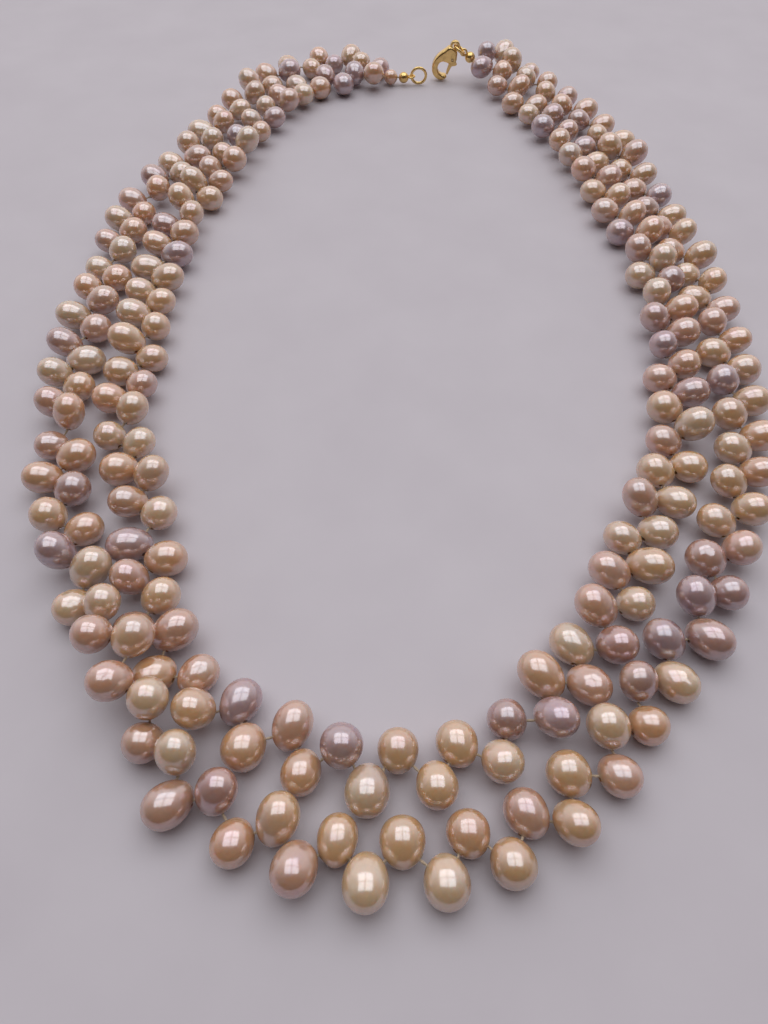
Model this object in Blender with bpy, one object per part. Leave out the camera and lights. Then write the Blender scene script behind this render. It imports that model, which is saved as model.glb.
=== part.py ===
"""A two-strand necklace of top-drilled freshwater pearls, laid open on a flat surface.

Each pearl is egg-shaped and drilled across its narrow end, so it hangs to one side of the
silk, and the pearls of a strand alternate from side to side.  The two strands run side by
side in STRETCHES stretches, which bend at their joints by turns sideways and upwards.  The
silks meet in a gold bead tip at each end: the left one holds a ring, the right one a jump
ring with a lobster clasp.

Metres, +Z up.  The surface is z = 0, the origin lies under the middle of the necklace, and
the open end points to +Y.
"""

import math
import random

import bmesh
import bpy
import numpy as np
from mathutils import Matrix, Vector

MM = 0.001

# The pearls
PEARL_WIDTH = 5.4 * MM
WIDTH_SPREAD = (0.93, 1.05)
LENGTH_SPREAD = (1.06, 1.30)
NARROWING = 0.08  # how much slimmer the drilled end is than the hanging end
HOLE_FROM_TIP = 0.27  # of the width
# A pearl as balls on its axis: the place from its drilled tip, as a share of its length and a
# share of its width, and the radius as a share of its width
PEARL_BALLS = ((0.60, 0.0, 0.49), (0.42, 0.0, 0.48), (0.0, 0.38, 0.38))
PEARL_PITCH = 3.75 * MM
ROLL = math.radians(5)  # how far the pearls stand up from the surface
SIDE_ROLL = math.radians(30)  # and how much farther where the strands run front to back
ROLL_SPREAD = math.radians(16)
LEAN_SPREAD = 0.12
PROPPED_SHARE = 0.10  # the pearls that stand up between their neighbours
PROPPED_ROLLS = (math.radians(35), math.radians(55))
LAYOUT_SEED = 3

# The stretches and their joints
STRETCHES = 21
JOINT_GAP = 0.5 * MM
GAP_ON_STRAND = 0.06 * MM
GAP_BETWEEN_STRANDS = 0.22 * MM
GAP_AT_JOINT = 0.55 * MM
HOLE_HEIGHT = 0.47  # of the width, for a pearl that lies on the surface
END_RISE = 2.4 * MM  # the clasp, standing on its nose, lifts the right end
RISE_LENGTH = 17.0 * MM
# Near the front on the left, the outer strand lies on the inner one
CROWDED_PLACE_MM = (-38.0, -77.0)
CROWDED_RISE = 3.2 * MM
CROWDED_LENGTH = 14.0 * MM
SILK_RADIUS = 0.26 * MM

# The two silks' ways over the surface, from the left end to the right end
OUTER_ROUTE_MM = [
    (-4.6, 98.0), (-8, 100.5), (-13, 103.5), (-19.5, 104.5), (-26.5, 101), (-33, 94),
    (-37.5, 86), (-41, 78), (-44, 70), (-46.5, 62.5), (-49, 54.5), (-52.5, 44),
    (-56.5, 34.5), (-58.5, 25), (-59, 15), (-59, 5.5), (-60, -3), (-59.5, -11),
    (-60, -19), (-58, -30), (-56, -39), (-54.5, -48.5), (-51, -57.5), (-47.5, -65),
    (-43.2, -71), (-38.2, -77), (-34.5, -83.5), (-31, -90), (-25.5, -96), (-19, -99.5),
    (-12, -102), (-5, -103), (2, -103), (9, -101.5), (15.5, -99), (21.5, -94),
    (26.5, -88.5), (31, -82), (36.5, -76), (42, -69.5), (46.5, -61.5), (50.5, -53.5),
    (54, -45.5), (56.5, -37.5), (57.5, -28.5), (59, -18), (59.5, -9.5), (59.5, -1.5),
    (59, 7.5), (58, 16.5), (57, 26), (55.5, 35.5), (53.5, 44.5), (52.5, 53.5),
    (50.5, 62.5), (47.5, 70), (44, 77.5), (40, 85.5), (35.5, 93), (31, 99.5),
    (26.5, 102), (23, 100.6),
]
INNER_ROUTE_MM = [
    (-4.6, 95.6), (-9, 95), (-14.5, 94), (-21, 91), (-26.5, 85.5), (-30.5, 78.5),
    (-33.5, 71), (-36, 63.5), (-38.5, 56), (-41.5, 47), (-44.5, 38), (-46.5, 29),
    (-48, 20), (-48.5, 11.5), (-49, 3), (-48.5, -5.5), (-48, -14.5), (-48, -22.5),
    (-48, -30.5), (-46.5, -38), (-43, -44.5), (-40.5, -52), (-38.5, -59.5),
    (-38, -65.5), (-36.2, -71.5), (-33.3, -77.5), (-29, -82.5), (-22.5, -86.5), (-14.5, -90),
    (-7.5, -92), (-0.5, -92.5), (6, -91.5), (12, -89), (16.5, -85), (21.5, -80),
    (26.5, -75), (30, -68.5), (33.5, -61), (37, -53.5), (41.5, -47), (45, -39),
    (47, -31), (48, -22), (49.5, -13), (50.5, -5.5), (51.5, 2), (51, 10.5), (50, 19),
    (48, 28), (46.5, 36.5), (45.5, 44.5), (43.5, 52), (41, 60), (38, 68), (35, 75.5),
    (31.5, 82.5), (28.5, 89.5), (26, 95.2), (23, 98.2),
]

# Puts the lowest pearl on the surface, and the origin under the middle of the necklace
SHIFT = Vector((0.32, -0.31, 0.084)) * MM

# The settling of the pearls against each other
SETTLE_ROUNDS = 200
FREE_ROUNDS = 50  # the last rounds, in which nothing draws a pearl back to its place
PUSH_SHARE = 0.45  # how much of an overlap one round clears
HOLE_PULL = 0.04
END_PULL = 0.02
SINK = 0.004 * MM
SQUARING = 0.2  # how strongly a pearl turns square to the silk

# The end fittings
TIP_RADIUS = 1.35 * MM
TIP_WALL = 0.30 * MM
TIP_MOUTH_RADIUS = 0.62 * MM
LOOP_RADIUS = 0.78 * MM
LOOP_WIRE = 0.27 * MM
STEM_RADIUS = 0.405 * MM
KNOT_RADIUS = 0.72 * MM
THREAD_RADIUS = 0.32 * MM
BRANCH_RADIUS = 0.256 * MM
END_PEARL_RADIUS = 1.9 * MM
END_PEARL_HOLE = 0.5 * MM
END_PEARL_REACH = 2.66 * MM  # how far its bore runs to each side of its centre
THREAD_TURN = 2.28 * MM  # how far from its centre the two silks have come together
LOOP_STANDOFF = 0.02 * MM
END_RING_RADIUS = 1.95 * MM
JUMP_RING_RADIUS = 1.5 * MM
RING_WIRE = 0.36 * MM
LEFT_FORK = Vector((-3.9, 96.8, 2.2)) * MM
LEFT_PEARL_CENTRE = Vector((-1.5, 96.6, 1.95)) * MM
LEFT_TIP_CENTRE = Vector((2.0, 96.4, 1.9)) * MM
LEFT_TIP_AIM = Vector((1.0, 0.0, 0.12))
RIGHT_FORK = Vector((22.2, 99.4, 4.9)) * MM
RIGHT_TIP_CENTRE = Vector((19.9, 99.4, 5.8)) * MM
RIGHT_TIP_AIM = Vector((-0.82, 0.0, 0.57))

# The lobster clasp, in its own plane: u runs from the eye to the nose, w towards the back
CLASP_THICKNESS = 2.3 * MM
CLASP_BEVEL = 0.32 * MM
EYE_RADIUS = 1.28 * MM
EYE_HOLE = 0.72 * MM
EYE_THICKNESS = 1.24 * MM
CLASP_U = Vector((-0.50, 0.0, -0.866))
CLASP_W = Vector((-0.866, 0.0, 0.50))
CLASP_OUTLINE_MM = [
    (0.7, 1.0), (2.0, 1.75), (3.5, 2.5), (5.2, 2.95), (6.9, 2.75), (8.3, 2.0), (9.1, 0.8),
    (9.25, -0.7), (8.7, -1.8), (7.7, -2.3), (7.35, -1.75), (7.7, -0.7), (7.5, 0.4),
    (6.7, 1.2), (5.6, 1.35), (4.8, 0.8), (4.5, -0.2), (4.4, -1.3), (3.9, -2.1),
    (3.0, -2.35), (1.9, -1.9), (0.7, -1.0),
]
SLOT_MM = (1.9, 5.2, -3.2, 0.15)
SLOT_THICKNESS = 1.3 * MM
TRIGGER_THICKNESS = 0.90 * MM
TRIGGER_OUTLINE_MM = [
    (2.5, -0.8), (3.1, -0.45), (3.8, -0.75), (4.9, -1.15), (6.2, -1.45), (7.0, -1.75),
    (7.1, -2.2), (6.0, -2.15), (4.8, -2.1), (4.3, -2.7), (3.7, -3.05), (3.3, -2.6),
    (2.9, -1.9), (2.45, -1.5),
]
PIVOT_MM = (3.1, -1.15)
PIN_RADIUS = 0.30 * MM
PIN_HOLE = 0.40 * MM
PIN_LENGTH = 2.25 * MM
SPRING_MM = [(2.15, -0.05), (3.0, -0.12), (3.9, -0.05)]
SPRING_RADIUS = 0.09 * MM

# Facets
BALL_SIDES = 12
BALL_RINGS = 8
ROD_SIDES = 12
EGG_SIDES = 6
EGG_RINGS = 3
SILK_SIDES = 3
WIRE_SIDES = 6
RING_STEPS = 16

COLOURS = {
    "cream_pearl": ((0.80, 0.66, 0.50), 0.22, 0.0),
    "peach_pearl": ((0.76, 0.56, 0.45), 0.22, 0.0),
    "silk": ((0.80, 0.74, 0.66), 0.70, 0.0),
    "gold": ((0.83, 0.60, 0.22), 0.18, 1.0),
    "steel": ((0.62, 0.62, 0.64), 0.30, 1.0),
}


# ---------------------------------------------------------------- layout of the strands


class Route:
    """A smooth curve over the surface, read by the distance along it."""

    def __init__(self, points_mm, crowded=False, steps=16):
        p = np.array(points_mm) * MM
        p = np.vstack([2 * p[0] - p[1], p, 2 * p[-1] - p[-2]])
        curve = []
        for a, b, c, d in zip(p, p[1:], p[2:], p[3:]):
            for t in np.arange(steps) / steps:
                square = (2 * a - 5 * b + 4 * c - d) * t * t
                cube = (3 * b - a - 3 * c + d) * t**3
                curve.append((2 * b + (c - a) * t + square + cube) / 2)
        self.points = np.array(curve + [p[-2]])
        steps_along = np.linalg.norm(np.diff(self.points, axis=0), axis=1)
        self.along = np.concatenate([[0], np.cumsum(steps_along)])
        self.length = self.along[-1]
        self.crowded = self.nearest(np.array(CROWDED_PLACE_MM) * MM) if crowded else None

    def at(self, s):
        return np.array([np.interp(s, self.along, self.points[:, k]) for k in (0, 1)])

    def direction(self, s):
        way = self.at(s + 0.8 * MM) - self.at(s - 0.8 * MM)
        return way / np.linalg.norm(way)

    def nearest(self, point):
        return self.along[np.argmin(np.linalg.norm(self.points - point, axis=1))]

    def rise(self, s):
        """How far the silk is lifted near the right end and where the strands are crowded."""
        t = min(max((s - self.length + RISE_LENGTH) / RISE_LENGTH, 0.0), 1.0)
        lift = END_RISE * t * t * (3 - 2 * t)
        if self.crowded is not None:
            t = max(1 - abs(s - self.crowded) / CROWDED_LENGTH, 0.0)
            lift += CROWDED_RISE * t * t * (3 - 2 * t)
        return lift


ROUTES = (Route(OUTER_ROUTE_MM, crowded=True), Route(INNER_ROUTE_MM))


def joint_places():
    """For each strand, the distances along it at which the stretches meet."""
    outer, inner = ROUTES
    first = np.linspace(0, outer.length, STRETCHES + 1)
    second = np.array([inner.nearest(outer.at(s)) for s in first])
    second[0] = 0
    second[-1] = inner.length
    return first, second


def hinge_place(joint):
    """The point between the two silks on which the stretches bend, for joints from 1."""
    middle = Vector((0, 0, HOLE_HEIGHT * PEARL_WIDTH))
    for route, places in zip(ROUTES, joint_places()):
        x, y = route.at(places[joint])
        middle += Vector((x, y, route.rise(places[joint]))) / 2
    return middle


def strung_pearls():
    """Every pearl as (strand, stretch, distance along the silk, side)."""
    pearls = []
    for strand, places in enumerate(joint_places()):
        count = 0
        for stretch in range(STRETCHES):
            start = places[stretch] + JOINT_GAP / 2
            end = places[stretch + 1] - JOINT_GAP / 2
            here = max(1, round((end - start) / PEARL_PITCH))
            for k in range(here):
                side = 1 if (count + strand) % 2 else -1
                pearls.append((strand, stretch, start + (k + 0.5) * (end - start) / here, side))
                count += 1
    return pearls


class Layout:
    """Where each pearl lies: its hole, the way it points, the way it is drilled, its size."""

    def __init__(self):
        pearls = strung_pearls()
        chance = random.Random(LAYOUT_SEED)
        self.strand = np.array([p[0] for p in pearls])
        self.stretch = np.array([p[1] for p in pearls])
        width, length, hole, drill, aim = [], [], [], [], []
        for strand, _, s, side in pearls:
            route = ROUTES[strand]
            x, y = route.direction(s)
            w = PEARL_WIDTH * chance.uniform(*WIDTH_SPREAD)
            width.append(w)
            length.append(w * chance.uniform(*LENGTH_SPREAD))
            hole.append([*route.at(s), HOLE_HEIGHT * w + route.rise(s)])
            drill.append([x, y, 0])
            roll = chance.gauss(ROLL + SIDE_ROLL * abs(y), ROLL_SPREAD)
            if chance.random() < PROPPED_SHARE:
                roll += chance.choice(PROPPED_ROLLS)
            out = np.array([-y * side * math.cos(roll), x * side * math.cos(roll), math.sin(roll)])
            out += np.array(drill[-1]) * chance.gauss(0, LEAN_SPREAD)
            aim.append(out / np.linalg.norm(out))
        self.width, self.length = np.array(width), np.array(length)
        self.hole, self.drill, self.aim = np.array(hole), np.array(drill), np.array(aim)
        self.settle()

    def settle(self):
        """Moves the pearls apart until none overlap and none reach below the surface.

        A pearl is three balls on its axis. Its hole keeps near the route, and its hanging
        end sinks until something holds it.
        """
        count = len(self.width)
        w, h = self.width, HOLE_FROM_TIP * self.width
        reach = np.stack([a * self.length + b * w - h for a, b, _ in PEARL_BALLS], 1)
        radius = np.stack([size * w for _, _, size in PEARL_BALLS], 1).ravel()
        arm = reach[:, 0]
        owner = np.repeat(np.arange(count), 3)
        share = (reach / arm[:, None]).ravel()[:, None]
        weight = (1 - share) ** 2 + share**2

        spare = np.full((count, count), GAP_ON_STRAND)
        spare[self.strand[:, None] != self.strand] = GAP_BETWEEN_STRANDS
        spare[self.stretch[:, None] != self.stretch] = GAP_AT_JOINT
        a, b = np.triu_indices(3 * count, 1)
        near = np.linalg.norm(self.hole[owner[a]] - self.hole[owner[b]], axis=1) < 4 * PEARL_WIDTH
        near &= owner[a] != owner[b]
        a, b = a[near], b[near]
        apart = radius[a] + radius[b] + spare[owner[a], owner[b]]

        near_end = self.hole.copy()
        far_end = self.hole + self.aim * arm[:, None]
        near_home, far_home = near_end.copy(), far_end.copy()
        for turn in range(SETTLE_ROUNDS):
            ball = near_end[owner] * (1 - share) + far_end[owner] * share
            between = ball[a] - ball[b]
            distance = np.linalg.norm(between, axis=1)
            over = apart - distance
            hit = over > 0
            push = between[hit] * (over[hit] / distance[hit] / 2)[:, None]
            move = np.zeros_like(ball)
            np.add.at(move, a[hit], push)
            np.add.at(move, b[hit], -push)
            move[:, 2] += np.maximum(radius - ball[:, 2], 0)
            for fixed, size in fixed_balls():
                away = ball - fixed
                far = np.linalg.norm(away, axis=1)
                into = np.maximum(size + radius + GAP_AT_JOINT - far, 0)
                move += away * (into / far)[:, None]
            for end, part in ((near_end, (1 - share) / weight), (far_end, share / weight)):
                step = np.zeros_like(end)
                np.add.at(step, owner, move * part)
                end += PUSH_SHARE * step
            if turn < SETTLE_ROUNDS - FREE_ROUNDS:
                near_end += HOLE_PULL * (near_home - near_end)
                far_end += END_PULL * (far_home - far_end)
                far_end[:, 2] -= SINK
            axis = far_end - near_end
            axis -= SQUARING * (axis * self.drill).sum(1, keepdims=True) * self.drill
            axis /= np.linalg.norm(axis, axis=1, keepdims=True)
            middle = (near_end + far_end) / 2
            near_end = middle - axis * arm[:, None] / 2
            far_end = middle + axis * arm[:, None] / 2
        self.hole, self.aim = near_end, axis
        drill = self.drill - (self.drill * axis).sum(1, keepdims=True) * axis
        self.drill = drill / np.linalg.norm(drill, axis=1, keepdims=True)


def fixed_balls():
    """The end fittings, as balls that the strands' last pearls keep clear of."""
    return (
        (np.array(LEFT_PEARL_CENTRE), END_PEARL_RADIUS),
        (np.array(RIGHT_TIP_CENTRE), TIP_RADIUS),
    )


# ---------------------------------------------------------------- mesh helpers


def material(name, look):
    colour, roughness, metallic = COLOURS[look]
    made = bpy.data.materials.new(name)
    made.use_nodes = True
    shader = made.node_tree.nodes["Principled BSDF"]
    shader.inputs["Base Color"].default_value = (*colour, 1)
    shader.inputs["Roughness"].default_value = roughness
    shader.inputs["Metallic"].default_value = metallic
    made.diffuse_color = (*colour, 1)
    return made


def add_object(name, mesh_data, look, smooth=True):
    """A named object from a bmesh, with a material of its own."""
    mesh = bpy.data.meshes.new(name)
    bmesh.ops.recalc_face_normals(mesh_data, faces=mesh_data.faces)
    mesh_data.to_mesh(mesh)
    mesh_data.free()
    if smooth:
        mesh.shade_smooth()
        mesh.set_sharp_from_angle(angle=math.radians(40))
    made = bpy.data.objects.new(name, mesh)
    made.data.materials.append(material(name, look))
    bpy.context.scene.collection.objects.link(made)
    return made


def put_origin(made, point):
    """Moves an object's origin, and leaves its shape where it is."""
    made.data.transform(Matrix.Translation(-point))
    made.location = point


def as_cutter(made):
    made.hide_render = True
    made.display_type = "WIRE"
    return made


def boolean(target, other, operation, several=False):
    step = target.modifiers.new(operation.lower(), "BOOLEAN")
    step.operation = operation
    step.object = as_cutter(other)
    step.solver = "EXACT"
    step.use_self = several


def frame_matrix(origin, x_axis, y_axis, z_axis):
    rows = Matrix((x_axis, y_axis, z_axis)).transposed().to_4x4()
    return Matrix.Translation(origin) @ rows


def add_tube(mesh, points, radius, sides):
    """A capped tube of several sides along points."""
    points = [Vector(p) for p in points]
    rings = []
    side = None
    for k, point in enumerate(points):
        way = (points[min(k + 1, len(points) - 1)] - points[max(k - 1, 0)]).normalized()
        if side is None:
            side = way.orthogonal().normalized()
        side = (side - way * side.dot(way)).normalized()
        other = way.cross(side)
        ring = []
        for n in range(sides):
            turn = 2 * math.pi * n / sides
            out = side * math.cos(turn) + other * math.sin(turn)
            ring.append(mesh.verts.new(point + radius * out))
        rings.append(ring)
    for ring, following in zip(rings, rings[1:]):
        for n in range(sides):
            m = (n + 1) % sides
            mesh.faces.new((ring[n], ring[m], following[m], following[n]))
    mesh.faces.new(list(reversed(rings[0])))
    mesh.faces.new(rings[-1])


def add_egg(mesh, hole, aim, drill, width, length):
    """A pearl: slim at the drilled end, full at the end that hangs out along aim."""
    side = Vector(aim).cross(Vector(drill))
    place = frame_matrix(Vector(hole), drill, side, aim)
    rings = []
    for k in range(EGG_RINGS + 2):
        turn = math.pi * k / (EGG_RINGS + 1)
        height = length * (1 - math.cos(turn)) / 2 - HOLE_FROM_TIP * width
        radius = width / 2 * math.sin(turn) * (1 - NARROWING * math.cos(turn))
        if k in (0, EGG_RINGS + 1):
            rings.append([mesh.verts.new(place @ Vector((0, 0, height)))])
            continue
        ring = []
        for n in range(EGG_SIDES):
            around = 2 * math.pi * (n + 0.5) / EGG_SIDES
            spot = Vector((radius * math.cos(around), radius * math.sin(around), height))
            ring.append(mesh.verts.new(place @ spot))
        rings.append(ring)
    for low, high in zip(rings, rings[1:]):
        for n in range(EGG_SIDES):
            m = (n + 1) % EGG_SIDES
            if len(low) == 1:
                mesh.faces.new((low[0], high[m], high[n]))
            elif len(high) == 1:
                mesh.faces.new((low[n], low[m], high[0]))
            else:
                mesh.faces.new((low[n], low[m], high[m], high[n]))


def add_ring(mesh, centre, normal, ring_radius, wire_radius, steps=RING_STEPS, sides=WIRE_SIDES):
    """A closed ring of round wire."""
    normal = Vector(normal).normalized()
    across = normal.orthogonal().normalized()
    place = frame_matrix(Vector(centre), across, normal.cross(across), normal)
    rings = []
    for k in range(steps):
        turn = 2 * math.pi * k / steps
        ring = []
        for n in range(sides):
            around = 2 * math.pi * n / sides
            out = ring_radius + wire_radius * math.cos(around)
            up = wire_radius * math.sin(around)
            spot = Vector((out * math.cos(turn), out * math.sin(turn), up))
            ring.append(mesh.verts.new(place @ spot))
        rings.append(ring)
    for k in range(steps):
        ring, following = rings[k], rings[(k + 1) % steps]
        for n in range(sides):
            m = (n + 1) % sides
            mesh.faces.new((ring[n], following[n], following[m], ring[m]))


def add_plate(mesh, outline_mm, thickness, place):
    """A flat plate from an outline in a plane, centred on that plane."""
    lower, upper = [], []
    for u, w in outline_mm:
        lower.append(mesh.verts.new(place @ Vector((u * MM, w * MM, -thickness / 2))))
        upper.append(mesh.verts.new(place @ Vector((u * MM, w * MM, thickness / 2))))
    mesh.faces.new(list(reversed(lower)))
    mesh.faces.new(upper)
    for n in range(len(outline_mm)):
        m = (n + 1) % len(outline_mm)
        mesh.faces.new((lower[n], lower[m], upper[m], upper[n]))


def add_ball(mesh, centre, radius, sides=BALL_SIDES, rings=BALL_RINGS):
    place = Matrix.Translation(Vector(centre))
    bmesh.ops.create_uvsphere(mesh, u_segments=sides, v_segments=rings, radius=radius, matrix=place)


def add_rod(mesh, start, end, radius, sides=ROD_SIDES):
    add_tube(mesh, [start, end], radius, sides)


# ---------------------------------------------------------------- the strands


def silk_points(layout, strand, stretch):
    """The silk of one stretch: from near one joint, through each pearl's hole, to the next."""
    route = ROUTES[strand]
    places = joint_places()[strand]
    start = places[stretch] + JOINT_GAP / 2
    end = places[stretch + 1] - JOINT_GAP / 2
    here = np.flatnonzero((layout.strand == strand) & (layout.stretch == stretch))
    level = HOLE_HEIGHT * PEARL_WIDTH
    points = [(*route.at(start), level + route.rise(start))]
    points += [tuple(layout.hole[k]) for k in here]
    points.append((*route.at(end), level + route.rise(end)))
    return points


def build_strands(layout):
    """One object for each stretch of each strand: its pearls and the silk through them.

    A stretch's origin is on the joint by which it hangs on the stretch nearer the front.
    """
    front = (STRETCHES + 1) // 2
    for strand, (label, look) in enumerate((("outer", "cream_pearl"), ("inner", "peach_pearl"))):
        for stretch in range(STRETCHES):
            name = f"{label}_strand_pearls_{stretch + 1:02d}"
            eggs = bmesh.new()
            for k in np.flatnonzero((layout.strand == strand) & (layout.stretch == stretch)):
                add_egg(
                    eggs, layout.hole[k], layout.aim[k], layout.drill[k],
                    layout.width[k], layout.length[k],
                )
            silk = bmesh.new()
            add_tube(silk, silk_points(layout, strand, stretch), SILK_RADIUS, SILK_SIDES)
            pearls = add_object(name, eggs, look)
            thread = add_object(name + "_silk", silk, "silk", smooth=False)
            boolean(pearls, thread, "UNION", several=True)
            if stretch + 1 < front:
                put_origin(pearls, hinge_place(stretch + 1))
            elif stretch + 1 > front:
                put_origin(pearls, hinge_place(stretch))


# ---------------------------------------------------------------- the end fittings


def fork_of(end):
    """The two silks' last points on the strands, at the left (0) or the right (1) end."""
    level = HOLE_HEIGHT * PEARL_WIDTH
    points = []
    for route in ROUTES:
        s = 0 if end == 0 else route.length
        way = route.direction(s) * (-1 if end == 0 else 1)
        x, y = route.at(s) + way * JOINT_GAP / 2
        points.append(Vector((x, y, level + route.rise(s))))
    return points


def build_thread(name, end, fork, way_points, knot):
    """The two silks drawn together and knotted inside the bead tip."""
    first, second = fork_of(end)
    mesh = bmesh.new()
    add_tube(mesh, [first, fork, *way_points, knot], THREAD_RADIUS, WIRE_SIDES)
    thread = add_object(name, mesh, "silk")
    branch = bmesh.new()
    branch_way = [second, fork.lerp(second, 0.25), fork, way_points[0]]
    add_tube(branch, branch_way, BRANCH_RADIUS, WIRE_SIDES)
    boolean(thread, add_object(name + "_branch", branch, "silk"), "UNION")
    ball = bmesh.new()
    add_ball(ball, knot, KNOT_RADIUS, 10, 6)
    boolean(thread, add_object(name + "_knot", ball, "silk"), "UNION")
    return thread


def loop_centre(centre, aim):
    """Where a bead tip's loop is, outside its shell along aim."""
    return centre + aim * (TIP_RADIUS + LOOP_RADIUS + LOOP_STANDOFF)


def build_bead_tip(name, centre, mouth, aim, loop_normal):
    """A hollow bead tip, open towards the pearls, with a loop on its other side."""
    shell = bmesh.new()
    add_ball(shell, centre, TIP_RADIUS, 16, 10)
    tip = add_object(name, shell, "gold")
    hollow = bmesh.new()
    add_ball(hollow, centre, TIP_RADIUS - TIP_WALL, 14, 8)
    loop_place = loop_centre(centre, aim)
    loop = bmesh.new()
    add_ring(loop, loop_place, loop_normal, LOOP_RADIUS, LOOP_WIRE)
    stem = bmesh.new()
    near = centre + aim * (TIP_RADIUS - TIP_WALL / 2)
    add_rod(stem, near, loop_place - aim * LOOP_RADIUS, STEM_RADIUS)
    bore = bmesh.new()
    add_rod(bore, centre, centre + mouth * TIP_RADIUS * 1.3, TIP_MOUTH_RADIUS)
    boolean(tip, add_object(name + "_stem", stem, "gold"), "UNION")
    boolean(tip, add_object(name + "_loop", loop, "gold"), "UNION")
    boolean(tip, add_object(name + "_hollow", hollow, "gold"), "DIFFERENCE")
    boolean(tip, add_object(name + "_mouth", bore, "gold"), "DIFFERENCE")
    return tip


def build_left_end():
    """The round pearl, the bead tip and the ring at the left end."""
    tilt = Vector((*ROUTES[0].at(0), 0)).lerp(Vector((*ROUTES[1].at(0), 0)), 0.5)
    tilt.z = HOLE_HEIGHT * PEARL_WIDTH
    mesh = bmesh.new()
    add_ball(mesh, LEFT_PEARL_CENTRE, END_PEARL_RADIUS)
    pearl = add_object("left_end_pearl", mesh, "cream_pearl")
    bore = bmesh.new()
    along = (LEFT_TIP_CENTRE - LEFT_FORK).normalized()
    add_rod(
        bore, LEFT_PEARL_CENTRE - along * END_PEARL_REACH,
        LEFT_PEARL_CENTRE + along * END_PEARL_REACH, END_PEARL_HOLE,
    )
    boolean(pearl, add_object("left_end_pearl_hole", bore, "silk"), "DIFFERENCE")
    way = [LEFT_PEARL_CENTRE - along * THREAD_TURN, LEFT_PEARL_CENTRE]
    thread = build_thread("left_end_thread", 0, LEFT_FORK, way, LEFT_TIP_CENTRE)
    aim = LEFT_TIP_AIM.normalized()
    mouth = (LEFT_PEARL_CENTRE - LEFT_TIP_CENTRE).normalized()
    tip = build_bead_tip("left_bead_tip", LEFT_TIP_CENTRE, mouth, aim, (0, 0, 1))
    for piece in (pearl, thread, tip):
        put_origin(piece, tilt)
    loop = loop_centre(LEFT_TIP_CENTRE, aim)
    mesh = bmesh.new()
    add_ring(mesh, loop + aim * END_RING_RADIUS, (0, 1, 0), END_RING_RADIUS, RING_WIRE, 28)
    put_origin(add_object("end_ring", mesh, "gold"), loop)


def build_right_end():
    """The lifted bead tip at the right end, and the jump ring in its loop."""
    tilt = Vector((*ROUTES[0].at(ROUTES[0].length), 0))
    tilt = tilt.lerp(Vector((*ROUTES[1].at(ROUTES[1].length), 0)), 0.5)
    tilt.z = HOLE_HEIGHT * PEARL_WIDTH + END_RISE
    way = [RIGHT_FORK.lerp(RIGHT_TIP_CENTRE, 0.3), RIGHT_FORK.lerp(RIGHT_TIP_CENTRE, 0.6)]
    thread = build_thread("right_end_thread", 1, RIGHT_FORK, way, RIGHT_TIP_CENTRE)
    aim = RIGHT_TIP_AIM.normalized()
    mouth = (RIGHT_FORK - RIGHT_TIP_CENTRE).normalized()
    tip = build_bead_tip("right_bead_tip", RIGHT_TIP_CENTRE, mouth, aim, (0, 1, 0))
    for piece in (thread, tip):
        put_origin(piece, tilt)
    loop = loop_centre(RIGHT_TIP_CENTRE, aim)
    mesh = bmesh.new()
    normal = aim.cross(Vector((0, 1, 0)))
    add_ring(mesh, loop + aim * JUMP_RING_RADIUS, normal, JUMP_RING_RADIUS, RING_WIRE, 24)
    put_origin(add_object("jump_ring", mesh, "gold"), loop)
    return loop + aim * 2 * JUMP_RING_RADIUS


# ---------------------------------------------------------------- the clasp


def build_clasp(eye):
    """The clasp hangs by its eye from the jump ring and stands on its nose."""
    u, w = CLASP_U.normalized(), CLASP_W.normalized()
    place = frame_matrix(eye, u, w, u.cross(w))
    body = build_clasp_body(place)
    mesh = bmesh.new()
    add_plate(mesh, TRIGGER_OUTLINE_MM, TRIGGER_THICKNESS, place)
    trigger = add_object("clasp_trigger", mesh, "gold")
    pivot = Vector((PIVOT_MM[0] * MM, PIVOT_MM[1] * MM, 0))
    through = Vector((0, 0, CLASP_THICKNESS))
    for target in (body, trigger):
        bore = bmesh.new()
        add_rod(bore, place @ (pivot - through), place @ (pivot + through), PIN_HOLE, 16)
        boolean(target, add_object(target.name + "_bore", bore, "gold"), "DIFFERENCE")
    mesh = bmesh.new()
    half_pin = Vector((0, 0, PIN_LENGTH / 2))
    add_rod(mesh, place @ (pivot - half_pin), place @ (pivot + half_pin), PIN_RADIUS)
    pin = add_object("clasp_pin", mesh, "gold")
    mesh = bmesh.new()
    leaf = [place @ Vector((a * MM, b * MM, 0)) for a, b in SPRING_MM]
    add_tube(mesh, leaf, SPRING_RADIUS, WIRE_SIDES)
    spring = add_object("clasp_spring", mesh, "steel")
    for piece in (body, pin, spring):
        put_origin(piece, eye)
    put_origin(trigger, place @ pivot)


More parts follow.
